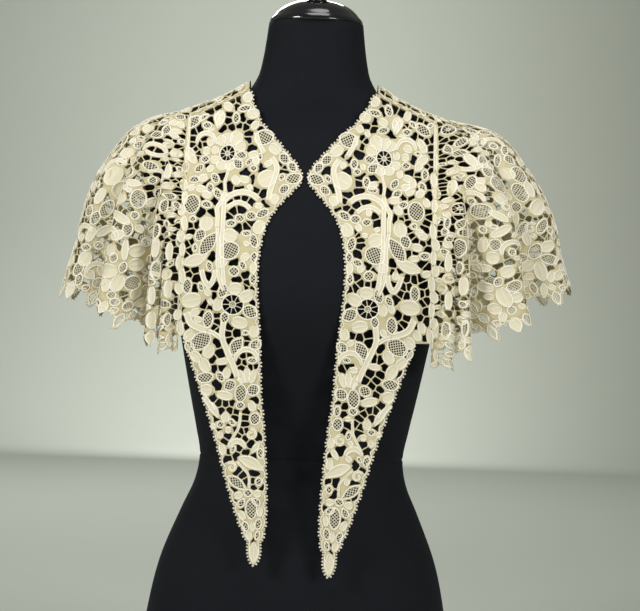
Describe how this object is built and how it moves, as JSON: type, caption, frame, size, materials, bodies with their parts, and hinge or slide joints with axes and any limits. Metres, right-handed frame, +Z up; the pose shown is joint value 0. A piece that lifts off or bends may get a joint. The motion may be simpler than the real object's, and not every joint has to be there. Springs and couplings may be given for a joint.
{
  "type": "lace pelerine on dress form",
  "caption": "Ivory tape lace pelerine with long pointed front lappets and fluted shoulder capes, worn on a limbless black dress form.",
  "frame": {"origin": "middle of the dress form's flat base, on the form's upright axis", "axes": "+Z up, +X to the right as seen from the front, +Y towards the back"},
  "size_m": [0.5645, 0.2398, 0.791],
  "materials": {
    "ivory_lace": "cotton tape and needle lace, matt",
    "form_jersey": "black knitted jersey, matt",
    "cap_gloss": "polished black lacquer"
  },
  "bodies": {
    "root": {"dress_form": "form_jersey", "neck_cap": "cap_gloss", "front_left": "ivory_lace", "front_right": "ivory_lace", "shoulder_left": "ivory_lace", "shoulder_right": "ivory_lace", "back": "ivory_lace"}
  },
  "joints": []
}
